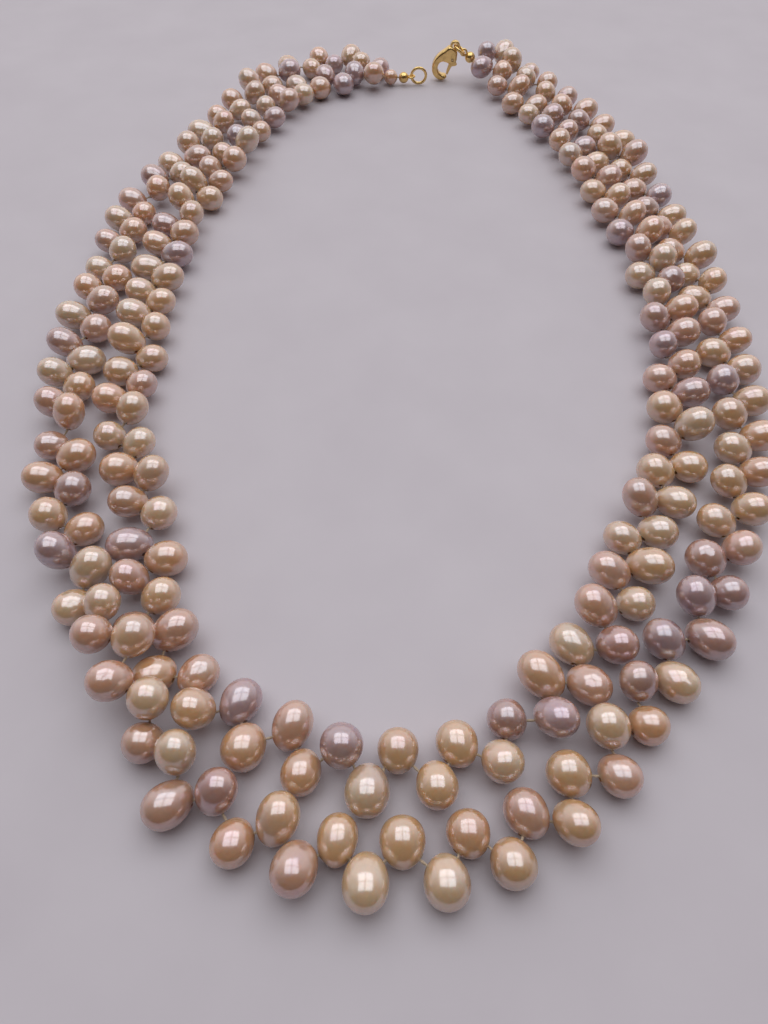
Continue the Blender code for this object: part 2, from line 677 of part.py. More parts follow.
def build_clasp_body(place):
    """The hook with its back, its eye, and the slot that the trigger works in."""
    mesh = bmesh.new()
    add_plate(mesh, CLASP_OUTLINE_MM, CLASP_THICKNESS, place)
    body = add_object("clasp_body", mesh, "gold")
    round_edges(body)
    half = Vector((0, 0, EYE_THICKNESS / 2))
    mesh = bmesh.new()
    add_rod(mesh, place @ -half, place @ half, EYE_RADIUS, 20)
    boolean(body, add_object("clasp_body_eye", mesh, "gold"), "UNION")
    mesh = bmesh.new()
    add_rod(mesh, place @ (-2 * half), place @ (2 * half), EYE_HOLE, 16)
    boolean(body, add_object("clasp_body_eye_hole", mesh, "gold"), "DIFFERENCE")
    low_u, high_u, low_w, high_w = SLOT_MM
    corners = [(low_u, low_w), (high_u, low_w), (high_u, high_w), (low_u, high_w)]
    mesh = bmesh.new()
    add_plate(mesh, corners, SLOT_THICKNESS, place)
    boolean(body, add_object("clasp_body_slot", mesh, "gold"), "DIFFERENCE")
    return body


def round_edges(made):
    bevel = made.modifiers.new("rounded", "BEVEL")
    bevel.width = CLASP_BEVEL
    bevel.segments = 1
    bevel.limit_method = "ANGLE"
    bevel.angle_limit = math.radians(60)


def main():
    for old in list(bpy.data.objects):
        bpy.data.objects.remove(old)
    build_strands(Layout())
    build_left_end()
    build_clasp(build_right_end())
    for made in bpy.data.objects:
        made.location += SHIFT


main()
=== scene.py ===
import random
from math import asin, cos, exp, pi, radians, sin, tau

import bmesh
import bpy
import numpy as np
from mathutils import Matrix, Vector
from numpy.linalg import norm


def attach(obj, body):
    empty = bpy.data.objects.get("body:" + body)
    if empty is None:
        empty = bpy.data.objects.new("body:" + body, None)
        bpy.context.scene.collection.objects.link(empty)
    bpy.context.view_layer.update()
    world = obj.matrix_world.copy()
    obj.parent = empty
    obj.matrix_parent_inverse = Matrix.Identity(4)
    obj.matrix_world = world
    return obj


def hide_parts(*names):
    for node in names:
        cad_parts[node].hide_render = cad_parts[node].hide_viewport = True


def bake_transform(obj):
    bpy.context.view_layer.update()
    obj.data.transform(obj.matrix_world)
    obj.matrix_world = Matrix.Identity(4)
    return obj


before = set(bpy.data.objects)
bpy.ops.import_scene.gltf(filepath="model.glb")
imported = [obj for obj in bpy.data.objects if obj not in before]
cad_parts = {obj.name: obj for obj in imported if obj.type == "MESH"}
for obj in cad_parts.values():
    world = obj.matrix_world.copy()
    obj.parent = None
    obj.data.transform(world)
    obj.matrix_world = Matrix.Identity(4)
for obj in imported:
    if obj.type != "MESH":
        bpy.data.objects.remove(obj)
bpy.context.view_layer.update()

# The fine surface of a two-strand pearl necklace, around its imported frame. Each pearl gets a
# round skin with its own dents, its drilled bore and its own nacre colour, where the frame's
# solids put it. The silk, the bead tips, the rings and the clasp follow. Metres, +Z up.

MM = 0.001

# The pearls
PEARL_WIDTH = 5.4 * MM
WIDTH_SPREAD = (0.93, 1.05)
LENGTH_SPREAD = (1.06, 1.30)
NARROWING = 0.08  # the girth's change from the middle to each end, slimmer at the drilled end
HOLE_FROM_TIP = 0.27  # of the width
# A pearl as balls on its axis: the place from its drilled tip, as a share of its length and a
# share of its width, and the radius as a share of its width
PEARL_BALLS = ((0.60, 0.0, 0.49), (0.42, 0.0, 0.48), (0.0, 0.38, 0.38))
PEARL_PITCH = 3.75 * MM
ROLL = radians(5)  # how far the pearls stand up from the surface
SIDE_ROLL = radians(30)  # and how much farther where the strands run front to back
ROLL_SPREAD = radians(16)
LEAN_SPREAD = 0.12
PROPPED_SHARE = 0.10  # the pearls that stand up between their neighbours
PROPPED_ROLLS = (radians(35), radians(55))
LAYOUT_SEED = 3

# The stretches and their joints
STRETCHES = 21
JOINT_GAP = 0.5 * MM
# The gap kept between pearls of one strand, of both strands, and of two stretches
GAP_ON_STRAND = 0.06 * MM
GAP_BETWEEN_STRANDS = 0.22 * MM
GAP_AT_JOINT = 0.55 * MM
HOLE_HEIGHT = 0.47  # of the width, for a pearl that lies on the surface
END_RISE = 2.4 * MM  # the clasp, standing on its nose, lifts the right end
RISE_LENGTH = 17.0 * MM
# Near the front on the left, the outer strand lies on the inner one
CROWDED_PLACE_MM = (-38.0, -77.0)
CROWDED_RISE = 3.2 * MM
CROWDED_LENGTH = 14.0 * MM

ROUTE_PARTS = 16  # of a route's curve, from one point to the next
DIRECTION_STEP = 0.8 * MM  # to each side of where a route's direction is read

# The two silks' ways over the surface, from the left end to the right end
OUTER_ROUTE_MM = [
    (-4.6, 98.0), (-8, 100.5), (-13, 103.5), (-19.5, 104.5), (-26.5, 101), (-33, 94),
    (-37.5, 86), (-41, 78), (-44, 70), (-46.5, 62.5), (-49, 54.5), (-52.5, 44),
    (-56.5, 34.5), (-58.5, 25), (-59, 15), (-59, 5.5), (-60, -3), (-59.5, -11),
    (-60, -19), (-58, -30), (-56, -39), (-54.5, -48.5), (-51, -57.5), (-47.5, -65),
    (-43.2, -71), (-38.2, -77), (-34.5, -83.5), (-31, -90), (-25.5, -96), (-19, -99.5),
    (-12, -102), (-5, -103), (2, -103), (9, -101.5), (15.5, -99), (21.5, -94),
    (26.5, -88.5), (31, -82), (36.5, -76), (42, -69.5), (46.5, -61.5), (50.5, -53.5),
    (54, -45.5), (56.5, -37.5), (57.5, -28.5), (59, -18), (59.5, -9.5), (59.5, -1.5),
    (59, 7.5), (58, 16.5), (57, 26), (55.5, 35.5), (53.5, 44.5), (52.5, 53.5),
    (50.5, 62.5), (47.5, 70), (44, 77.5), (40, 85.5), (35.5, 93), (31, 99.5),
    (26.5, 102), (23, 100.6),
]
INNER_ROUTE_MM = [
    (-4.6, 95.6), (-9, 95), (-14.5, 94), (-21, 91), (-26.5, 85.5), (-30.5, 78.5),
    (-33.5, 71), (-36, 63.5), (-38.5, 56), (-41.5, 47), (-44.5, 38), (-46.5, 29),
    (-48, 20), (-48.5, 11.5), (-49, 3), (-48.5, -5.5), (-48, -14.5), (-48, -22.5),
    (-48, -30.5), (-46.5, -38), (-43, -44.5), (-40.5, -52), (-38.5, -59.5),
    (-38, -65.5), (-36.2, -71.5), (-33.3, -77.5), (-29, -82.5), (-22.5, -86.5), (-14.5, -90),
    (-7.5, -92), (-0.5, -92.5), (6, -91.5), (12, -89), (16.5, -85), (21.5, -80),
    (26.5, -75), (30, -68.5), (33.5, -61), (37, -53.5), (41.5, -47), (45, -39),
    (47, -31), (48, -22), (49.5, -13), (50.5, -5.5), (51.5, 2), (51, 10.5), (50, 19),
    (48, 28), (46.5, 36.5), (45.5, 44.5), (43.5, 52), (41, 60), (38, 68), (35, 75.5),
    (31.5, 82.5), (28.5, 89.5), (26, 95.2), (23, 98.2),
]

# Puts the lowest pearl on the surface, and the origin under the middle of the necklace
SHIFT = Vector((0.32, -0.31, 0.084)) * MM

# The settling of the pearls against each other
SETTLE_ROUNDS = 200
FREE_ROUNDS = 50  # the last rounds, in which nothing draws a pearl back to its place
PUSH_SHARE = 0.45  # how much of an overlap one round clears
HOLE_PULL = 0.04
END_PULL = 0.02
SINK = 0.004 * MM
SQUARING = 0.2  # how strongly a pearl turns square to the silk
NEARBY = 4 * PEARL_WIDTH  # pearls whose holes are farther apart than this never touch

# The end fittings
TIP_RADIUS = 1.35 * MM
TIP_WALL = 0.30 * MM
TIP_MOUTH_RADIUS = 0.62 * MM
TIP_SIDES = 48
TIP_ROWS = 22
SEAM_DEPTH = 0.07 * MM
SEAM_SPREAD = 0.09
MERGE_DISTANCE = 0.001 * MM
LOOP_RADIUS = 0.78 * MM
LOOP_STANDOFF = 0.02 * MM
LOOP_WIRE = 0.27 * MM
LOOP_THINNING = 0.92  # its wire as shown, against the solid's
LOOP_ROOT = TIP_RADIUS - TIP_WALL * 0.4  # where its wire starts, inside the shell's wall
LOOP_TURNS = (radians(200), radians(520))
LOOP_STEPS = 34
LOOP_SIDES = 12
KNOT_RADIUS = 0.72 * MM
KNOT_COIL = 0.72  # the widest turn of the knot's coil, as a share of the knot
KNOT_ENDS = 0.1  # the share of the coil's bulge that is cut off at each end
KNOT_TURNS = 3
KNOT_STEPS = 90
END_PEARL_RADIUS = 1.9 * MM
THREAD_TURN = 2.28 * MM  # how far from its centre the two silks have come together
SILK_ASIDE = 0.12 * MM  # half the distance between the two silks where they run together
RIGHT_SILK_SHARES = (0.3, 0.6)  # of the way from the right fork to its bead tip
END_RING_RADIUS = 1.95 * MM
END_RING_STEPS = 72
JUMP_RING_RADIUS = 1.5 * MM
JUMP_RING_STEPS = 64
JUMP_RING_SPLIT = 0.07  # the turn it leaves open, in radians
RING_WIRE = 0.36 * MM
RING_SIDES = 18
LEFT_FORK = Vector((-3.9, 96.8, 2.2)) * MM
LEFT_PEARL_CENTRE = Vector((-1.5, 96.6, 1.95)) * MM
LEFT_TIP_CENTRE = Vector((2.0, 96.4, 1.9)) * MM
LEFT_TIP_AIM = Vector((1.0, 0.0, 0.12))
RIGHT_FORK = Vector((22.2, 99.4, 4.9)) * MM
RIGHT_TIP_CENTRE = Vector((19.9, 99.4, 5.8)) * MM
RIGHT_TIP_AIM = Vector((-0.82, 0.0, 0.57))
# The end fittings, as balls that the last pearls keep clear of
FIXED_BALLS = (
    (np.array(LEFT_PEARL_CENTRE), END_PEARL_RADIUS),
    (np.array(RIGHT_TIP_CENTRE), TIP_RADIUS),
)

# The lobster clasp, in its own plane: u runs from the eye to the nose, w towards the back
CLASP_THICKNESS = 2.3 * MM
EYE_RADIUS = 1.28 * MM
EYE_HOLE = 0.72 * MM
EYE_THICKNESS = 1.24 * MM
EYE_SIDES = 40
CLASP_U = Vector((-0.50, 0.0, -0.866))
CLASP_W = Vector((-0.866, 0.0, 0.50))
CLASP_OUTLINE_MM = [
    (0.7, 1.0), (2.0, 1.75), (3.5, 2.5), (5.2, 2.95), (6.9, 2.75), (8.3, 2.0), (9.1, 0.8),
    (9.25, -0.7), (8.7, -1.8), (7.7, -2.3), (7.35, -1.75), (7.7, -0.7), (7.5, 0.4),
    (6.7, 1.2), (5.6, 1.35), (4.8, 0.8), (4.5, -0.2), (4.4, -1.3), (3.9, -2.1),
    (3.0, -2.35), (1.9, -1.9), (0.7, -1.0),
]
SLOT_MM = (1.9, 5.2, -3.2, 0.15)  # from and to along u, from and to along w
SLOT_THICKNESS = 1.3 * MM
TRIGGER_THICKNESS = 0.90 * MM
TRIGGER_OUTLINE_MM = [
    (2.5, -0.8), (3.1, -0.45), (3.8, -0.75), (4.9, -1.15), (6.2, -1.45), (7.0, -1.75),
    (7.1, -2.2), (6.0, -2.15), (4.8, -2.1), (4.3, -2.7), (3.7, -3.05), (3.3, -2.6),
    (2.9, -1.9), (2.45, -1.5),
]
PIVOT_MM = (3.1, -1.15)
PIN_RADIUS = 0.30 * MM
PIN_HOLE = 0.40 * MM
PIN_LENGTH = 2.25 * MM
SPRING_MM = [(2.15, -0.05), (3.0, -0.12), (3.9, -0.05)]
SPRING_RADIUS = 0.09 * MM
SPRING_STEP = 0.1 * MM
SPRING_SIDES = 10
ROD_SIDES = 32
OUTLINE_PARTS = 5  # of a smooth outline, from one corner to the next
# How far each piece's edges are rounded, and in how many steps
HOOK_ROUNDING = (0.55 * MM, 5)
EYE_ROUNDING = (0.25 * MM, 4)
LEVER_ROUNDING = (0.14 * MM, 3)
PIN_ROUNDING = (0.08 * MM, 3)
ROUNDED_TURN = radians(50)  # edges that turn by less stay

# The pearls' skins
SKIN_STEPS = 14  # quads along each edge of the cube that becomes an egg
BORE_RADIUS = 0.30 * MM
BORE_LIP = 0.07 * MM
DENT_SEED = 23
COLOUR_SEED = 5

# How a pearl differs from a true egg, as on a ball of radius 1; a pair is a least and a most
WAVES = 5
WAVE_PITCH = (1.4, 3.4)
WAVE_DEPTH = (0.002, 0.007)
FLATTENINGS = (0.0, 0.0, 0.03, 0.06)
RINGED_SHARE = 0.16
RING_PLACE = (-0.3, 0.6)
RING_DEPTH = (0.012, 0.03)
RING_SPREAD = 0.13
DIMPLE_COUNTS = (0, 0, 0, 1, 1, 2)
DIMPLE_DEPTH = (0.010, 0.035)
DIMPLE_SPREAD = (0.14, 0.30)

# Nacre colours and how common each is
NACRES = (
    ((0.62, 0.40, 0.20), 6),  # cream
    ((0.64, 0.46, 0.28), 5),  # ivory
    ((0.62, 0.36, 0.18), 4),  # peach
    ((0.56, 0.33, 0.215), 4),  # rose
    ((0.42, 0.24, 0.185), 3),  # mauve
    ((0.40, 0.265, 0.26), 2),  # lavender
)
NACRE_BRIGHTNESS = (0.92, 1.05)
SECOND_NACRE = 0.35  # how much of a second colour shows, at most
# painted shade: the colour inside each pearl's bore, as a share of its nacre colour
BORE_PAINTED_SHADE = 0.45

# The silk
PLY_RADIUS = 0.17 * MM
PLY_LOBE = 0.14
PLY_TURN = 0.9 * MM  # one turn of the twist
SILK_SIDES = 8
SILK_STEP = 0.25 * MM
SILK_BEND_STEP = 0.2 * MM
STRAIGHT_MM = 1.4  # how far the silk runs straight to each side of a bore's middle
SILK_DARK = (0.38, 0.28, 0.19)
SILK_PALE = (0.60, 0.48, 0.35)

# The metal
GOLD = (0.86, 0.60, 0.24)
PALE_GOLD = (0.80, 0.62, 0.34)
GOLD_DEPTH = 0.78  # the deep patches of the gold, as a share of its colour
GOLD_DULLING = 0.16  # the roughness that its polishing marks add

# Faces that turn by more than this meet at a sharp edge
SHARP_TURN = radians(40)
CLASP_SHARP_TURN = radians(35)

# The view
CAMERA_PLACE = Vector((-3.03, -124.81, 97.28)) * MM
CAMERA_PITCH = radians(37.2)
CAMERA_LENS = 27.04
CAMERA_SENSOR = 36
CAMERA_CLIP = 0.005

# The light and the table
WINDOW_SIZE = (0.92, 0.76)
WINDOW_COLUMNS = 2
WINDOW_ROWS = 2
WINDOW_BAR = 0.035
WINDOW_CENTRE = Vector((0.0, 0.12, 0.60))
WINDOW_TILT = radians(-4)
WINDOW_POWER = 4.9
WINDOW_COLOUR = (0.93, 0.98, 1.0)
# The room's colour from its near side (0) to its far side (1)
ROOM = (
    (0.22, (0.13, 0.10, 0.09)),
    (0.48, (0.48, 0.44, 0.45)),
    (0.80, (1.45, 1.38, 1.40)),
)
ROOM_STRENGTH = 0.58
TABLE_COLOUR = (0.56, 0.515, 0.555)
TABLE_SHADE = (0.53, 0.485, 0.525)
TABLE_SIZE = 1.5
TABLE_DROP = 0.02 * MM  # below the lowest pearl

# ---- where the pearls lie


def curve_through(points, parts=None, step=None):
    """A Catmull-Rom curve from the second of points up to, but without, the last but one.

    Between two points it has that many parts, or parts of about that step.
    """
    curve = []
    for a, b, c, d in zip(points, points[1:], points[2:], points[3:]):
        count = parts or max(1, round((c - b).length / step))
        for n in range(count):
            t = n / count
            square = (2 * a - 5 * b + 4 * c - d) * t * t
            cube = (3 * b - a - 3 * c + d) * t**3
            curve.append((2 * b + (c - a) * t + square + cube) / 2)
    return curve


class Route:
    """A smooth curve over the surface, read by the distance along it."""

    def __init__(self, points_mm, crowded=False):
        p = np.array(points_mm) * MM
        p = np.vstack([2 * p[0] - p[1], p, 2 * p[-1] - p[-2]])
        self.points = np.array([*curve_through(p, parts=ROUTE_PARTS), p[-2]])
        steps_along = norm(np.diff(self.points, axis=0), axis=1)
        self.along = np.concatenate([[0], np.cumsum(steps_along)])
        self.length = self.along[-1]
        self.crowded = self.nearest(np.array(CROWDED_PLACE_MM) * MM) if crowded else None

    def at(self, s):
        return np.array([np.interp(s, self.along, self.points[:, k]) for k in (0, 1)])

    def direction(self, s):
        way = self.at(s + DIRECTION_STEP) - self.at(s - DIRECTION_STEP)
        return way / norm(way)

    def nearest(self, point):
        return self.along[np.argmin(norm(self.points - point, axis=1))]

    def rise(self, s):
        """How far the silk is lifted near the right end and where the strands are crowded."""
        t = min(max((s - self.length + RISE_LENGTH) / RISE_LENGTH, 0.0), 1.0)
        lift = END_RISE * t * t * (3 - 2 * t)
        if self.crowded is not None:
            t = max(1 - abs(s - self.crowded) / CROWDED_LENGTH, 0.0)
            lift += CROWDED_RISE * t * t * (3 - 2 * t)
        return lift


ROUTES = (Route(OUTER_ROUTE_MM, crowded=True), Route(INNER_ROUTE_MM))


def joint_places():
    """For each strand, the distances along it at which the stretches meet."""
    outer, inner = ROUTES
    first = np.linspace(0, outer.length, STRETCHES + 1)
    second = np.array([inner.nearest(outer.at(s)) for s in first])
    second[0] = 0
    second[-1] = inner.length
    return first, second


def hinge_place(joint):
    """The point between the two silks on which the stretches bend, for joints from 1."""
    middle = Vector((0, 0, HOLE_HEIGHT * PEARL_WIDTH))
    for route, places in zip(ROUTES, joint_places()):
        x, y = route.at(places[joint])
        middle += Vector((x, y, route.rise(places[joint]))) / 2
    return middle


def strung_pearls():
    """Every pearl as (strand, stretch, distance along the silk, side)."""
    pearls = []
    for strand, places in enumerate(joint_places()):
        count = 0
        for stretch in range(STRETCHES):
            start = places[stretch] + JOINT_GAP / 2
            end = places[stretch + 1] - JOINT_GAP / 2
            here = max(1, round((end - start) / PEARL_PITCH))
            for k in range(here):
                side = 1 if (count + strand) % 2 else -1
                pearls.append((strand, stretch, start + (k + 0.5) * (end - start) / here, side))
                count += 1
    return pearls


class Layout:
    """Where each pearl lies: its hole, the way it points, the way it is drilled, its size."""

    def __init__(self):
        pearls = strung_pearls()
        chance = random.Random(LAYOUT_SEED)
        self.strand = np.array([p[0] for p in pearls])
        self.stretch = np.array([p[1] for p in pearls])
        width, length, hole, drill, aim = [], [], [], [], []
        for strand, _, s, side in pearls:
            route = ROUTES[strand]
            x, y = route.direction(s)
            w = PEARL_WIDTH * chance.uniform(*WIDTH_SPREAD)
            width.append(w)
            length.append(w * chance.uniform(*LENGTH_SPREAD))
            hole.append([*route.at(s), HOLE_HEIGHT * w + route.rise(s)])
            drill.append([x, y, 0])
            roll = chance.gauss(ROLL + SIDE_ROLL * abs(y), ROLL_SPREAD)
            if chance.random() < PROPPED_SHARE:
                roll += chance.choice(PROPPED_ROLLS)
            out = np.array([-y * side * cos(roll), x * side * cos(roll), sin(roll)])
            out += np.array(drill[-1]) * chance.gauss(0, LEAN_SPREAD)
            aim.append(out / norm(out))
        self.width, self.length = np.array(width), np.array(length)
        self.hole, self.drill, self.aim = np.array(hole), np.array(drill), np.array(aim)
        self.settle()

    def settle(self):
        """Moves the pearls apart until none overlap and none reach below the surface.

        A pearl is three balls on its axis. Its hole keeps near the route, and its hanging
        end sinks until something holds it.
        """
        count = len(self.width)
        w, h = self.width, HOLE_FROM_TIP * self.width
        reach = np.stack([a * self.length + b * w - h for a, b, _ in PEARL_BALLS], 1)
        radius = np.stack([size * w for _, _, size in PEARL_BALLS], 1).ravel()
        arm = reach[:, 0]
        owner = np.repeat(np.arange(count), 3)
        share = (reach / arm[:, None]).ravel()[:, None]
        weight = (1 - share) ** 2 + share**2

        spare = np.full((count, count), GAP_ON_STRAND)
        spare[self.strand[:, None] != self.strand] = GAP_BETWEEN_STRANDS
        spare[self.stretch[:, None] != self.stretch] = GAP_AT_JOINT
        a, b = np.triu_indices(3 * count, 1)
        near = norm(self.hole[owner[a]] - self.hole[owner[b]], axis=1) < NEARBY
        near &= owner[a] != owner[b]
        a, b = a[near], b[near]
        apart = radius[a] + radius[b] + spare[owner[a], owner[b]]

        near_end = self.hole.copy()
        far_end = self.hole + self.aim * arm[:, None]
        near_home, far_home = near_end.copy(), far_end.copy()
        for turn in range(SETTLE_ROUNDS):
            ball = near_end[owner] * (1 - share) + far_end[owner] * share
            between = ball[a] - ball[b]
            distance = norm(between, axis=1)
            over = apart - distance
            hit = over > 0
            push = between[hit] * (over[hit] / distance[hit] / 2)[:, None]
            move = np.zeros_like(ball)
            np.add.at(move, a[hit], push)
            np.add.at(move, b[hit], -push)
            move[:, 2] += np.maximum(radius - ball[:, 2], 0)
            for fixed, size in FIXED_BALLS:
                away = ball - fixed
                far = norm(away, axis=1)
                into = np.maximum(size + radius + GAP_AT_JOINT - far, 0)
                move += away * (into / far)[:, None]
            for end, part in ((near_end, (1 - share) / weight), (far_end, share / weight)):
                step = np.zeros_like(end)
                np.add.at(step, owner, move * part)
                end += PUSH_SHARE * step
            if turn < SETTLE_ROUNDS - FREE_ROUNDS:
                near_end += HOLE_PULL * (near_home - near_end)
                far_end += END_PULL * (far_home - far_end)
                far_end[:, 2] -= SINK
            axis = far_end - near_end
            axis -= SQUARING * (axis * self.drill).sum(1, keepdims=True) * self.drill
            axis /= norm(axis, axis=1, keepdims=True)
            middle = (near_end + far_end) / 2
            near_end = middle - axis * arm[:, None] / 2
            far_end = middle + axis * arm[:, None] / 2
        self.hole, self.aim = near_end, axis
        drill = self.drill - (self.drill * axis).sum(1, keepdims=True) * axis
        self.drill = drill / norm(drill, axis=1, keepdims=True)


# ---- materials


def new_material(name, **values):
    """A Principled material; returns it with its node tree and its shader."""
    made = bpy.data.materials.new(name)
    made.use_nodes = True
    tree = made.node_tree
    shader = tree.nodes["Principled BSDF"]
    for socket, value in values.items():
        shader.inputs[socket.replace("_", " ")].default_value = value
    return made, tree, shader


def feed(tree, node, **sources):
    """Links sockets to a node's inputs."""
    for socket, source in sources.items():
        tree.links.new(source, node.inputs[socket.replace("_", " ")])


def add_node(tree, kind, **values):
    """A shader node; a value named after an input sets that input, any other an attribute."""
    made = tree.nodes.new("ShaderNode" + kind)
    for name, value in values.items():
        label = name.replace("_", " ")
        if label in made.inputs:
            made.inputs[label].default_value = value
        else:
            setattr(made, name, value)
    return made


def ramp(tree, source, stops):
    """A colour ramp from (position, value) stops, values as greys or as colours."""
    made = add_node(tree, "ValToRGB")
    elements = made.color_ramp.elements
    while len(elements) < len(stops):
        elements.new(0.5)
    for element, (position, value) in zip(elements, stops):
        element.position = position
        colour = (value, value, value) if isinstance(value, (int, float)) else value
        element.color = (*colour, 1)
    feed(tree, made, Fac=source)
    return made.outputs["Color"]


def object_noise(tree, scale, detail=3.0, distortion=0.0, stretch=(1, 1, 1)):
    """Noise over the piece's own coordinates."""
    place = add_node(tree, "TexCoord")
    spread = add_node(tree, "Mapping", Scale=stretch)
    feed(tree, spread, Vector=place.outputs["Object"])
    noise = add_node(tree, "TexNoise", Scale=scale, Detail=detail, Distortion=distortion)
    feed(tree, noise, Vector=spread.outputs["Vector"])
    return noise.outputs["Fac"]


def multiply(tree, first, second, amount):
    """The first colour times the second, as far as amount says."""
    made = add_node(tree, "Mix", data_type="RGBA", blend_type="MULTIPLY")
    made.inputs[0].default_value = amount
    tree.links.new(first, made.inputs[6])
    tree.links.new(second, made.inputs[7])
    return made.outputs[2]


def bump(tree, shader, height, distance, strength=1.0):
    """Small unevenness of a surface, from the height at each place."""
    made = add_node(tree, "Bump", Strength=strength, Distance=distance)
    feed(tree, made, Height=height)
    feed(tree, shader, Normal=made.outputs["Normal"])


def nacre_material(name):
    """Nacre: the pearl's own colour with soft clouds, a satin base and a glossy coat."""
    made, tree, shader = new_material(
        name, Roughness=0.2, IOR=2.8, Coat_Weight=1.0, Coat_Roughness=0.07,
        Coat_IOR=1.9, Subsurface_Weight=0.8, Subsurface_Scale=0.0024,
        Subsurface_Radius=(1.0, 0.62, 0.36),
    )
    shader.subsurface_method = "RANDOM_WALK"
    gleam = ramp(
        tree, object_noise(tree, scale=260, detail=1.0, distortion=0.5),
        ((0.34, (0.96, 0.80, 0.98)), (0.48, (0.98, 0.88, 0.94)), (0.62, (0.86, 0.86, 1.0))),
    )
    # the pearl's nacre colours, with painted shade inside its bore
    own = add_node(tree, "Attribute", attribute_name="nacre_and_bore_shade")
    clouds = object_noise(tree, scale=420, detail=2.0, distortion=0.4)
    overtone = ramp(tree, clouds, ((0.35, (1.04, 0.99, 0.94)), (0.65, (0.96, 1.0, 1.05))))
    colour = multiply(tree, own.outputs["Color"], overtone, amount=1.0)
    specks = object_noise(tree, scale=2600)
    fine = ramp(tree, specks, ((0.40, 0.93), (0.62, 1.0)))
    colour = multiply(tree, colour, fine, amount=0.5)
    satin = ramp(tree, clouds, ((0.3, 0.16), (0.7, 0.26)))
    feed(tree, shader, Base_Color=colour, Roughness=satin, Specular_Tint=gleam)
    ripples = object_noise(tree, scale=700, detail=2.0)
    bump(tree, shader, ripples, distance=0.00001, strength=0.4)
    return made


def silk_material():
    """Dull cream silk with a fibrous grain."""
    made, tree, shader = new_material("silk_thread", Roughness=0.75, Sheen_Weight=0.4)
    fibres = object_noise(tree, scale=5200, detail=2.0, distortion=0.6)
    feed(tree, shader, Base_Color=ramp(tree, fibres, ((0.3, SILK_DARK), (0.7, SILK_PALE))))
    bump(tree, shader, fibres, distance=0.00004)
    return made


def gold_material(name, colour, roughness):
    """Polished gold with fine polishing marks, slightly duller and darker in patches."""
    made, tree, shader = new_material(name, Metallic=1.0)
    patches = object_noise(tree, scale=700, detail=4.0, distortion=0.3)
    deep = tuple(GOLD_DEPTH * c for c in colour)
    shades = ramp(tree, patches, ((0.35, deep), (0.6, colour)))
    scratches = object_noise(tree, scale=3000, stretch=(1, 6, 1))
    dull = ramp(tree, scratches, ((0.3, roughness), (0.75, roughness + GOLD_DULLING)))
    feed(tree, shader, Base_Color=shades, Roughness=dull)
    bump(tree, shader, scratches, distance=0.00001, strength=0.4)
    return made


def steel_material():
    """Drawn spring steel with fine marks."""
    made, tree, shader = new_material("spring_steel", Metallic=1.0)
    marks = object_noise(tree, scale=2500, detail=2.0, stretch=(8, 1, 1))
    colour = ramp(tree, marks, ((0.3, 0.38), (0.7, 0.62)))
    dull = ramp(tree, marks, ((0.3, 0.22), (0.7, 0.4)))
    feed(tree, shader, Base_Color=colour, Roughness=dull)
    return made


# ---- mesh helpers


def link_object(name, data):
    """A new object of the scene from a mesh, a light or a camera."""
    made = bpy.data.objects.new(name, data)
    bpy.context.scene.collection.objects.link(made)
    return made


def mesh_object(name, mesh):
    """An object from a bmesh, its faces turned outwards."""
    data = bpy.data.meshes.new(name)
    bmesh.ops.recalc_face_normals(mesh, faces=mesh.faces)
    mesh.to_mesh(data)
    mesh.free()
    return link_object(name, data)


def finish_mesh(data, look, sharp_turn):
    """Gives a mesh its look and shades it smooth between its sharp edges."""
    data.shade_smooth()
    data.set_sharp_from_angle(angle=sharp_turn)
    data.materials.append(look)


def add_piece(name, mesh, look):
    """A finished object from a bmesh or a mesh."""
    make = mesh_object if isinstance(mesh, bmesh.types.BMesh) else link_object
    made = make(name, mesh)
    finish_mesh(made.data, look, SHARP_TURN)
    return made


def frame_matrix(origin, x_axis, y_axis, z_axis):
    """The matrix that brings points of a frame with these axes into the scene."""
    rows = Matrix((x_axis, y_axis, z_axis)).transposed().to_4x4()
    return Matrix.Translation(origin) @ rows


def join_rings(mesh, rings):
    """Faces between each ring of corners and the one that follows it."""
    for ring, following in zip(rings, rings[1:]):
        for n in range(len(ring)):
            m = (n + 1) % len(ring)
            mesh.faces.new((ring[n], ring[m], following[m], following[n]))


def add_tube(mesh, points, radius, sides, lobes=0.0):
    """A capped tube along points; with lobes, it is a twisted cord of two plies."""
    points = [Vector(p) for p in points]
    rings = []
    side = None
    travelled = 0.0
    for k, point in enumerate(points):
        way = (points[min(k + 1, len(points) - 1)] - points[max(k - 1, 0)]).normalized()
        travelled += (point - points[max(k - 1, 0)]).length
        if side is None:
            side = way.orthogonal().normalized()
        side = (side - way * side.dot(way)).normalized()
        other = way.cross(side)
        twist = tau * travelled / PLY_TURN
        ring = []
        for n in range(sides):
            turn = tau * n / sides
            out = side * cos(turn) + other * sin(turn)
            bulge = 1 + lobes * cos(2 * turn - twist)
            ring.append(mesh.verts.new(point + out * radius * bulge))
        rings.append(ring)
    join_rings(mesh, rings)
    mesh.faces.new(list(reversed(rings[0])))
    mesh.faces.new(rings[-1])


def smooth_points(points, step):
    """A smooth curve through points, in steps of about step."""
    p = [Vector(q) for q in points]
    p = [2 * p[0] - p[1], *p, 2 * p[-1] - p[-2]]
    return [*curve_through(p, step=step), p[-2]]


def smooth_outline(outline_mm):
    """A smooth closed curve through an outline's corners."""
    p = [Vector(q) for q in outline_mm]
    return curve_through([p[-1], *p, p[0], p[1]], parts=OUTLINE_PARTS)


# ---- the pearls


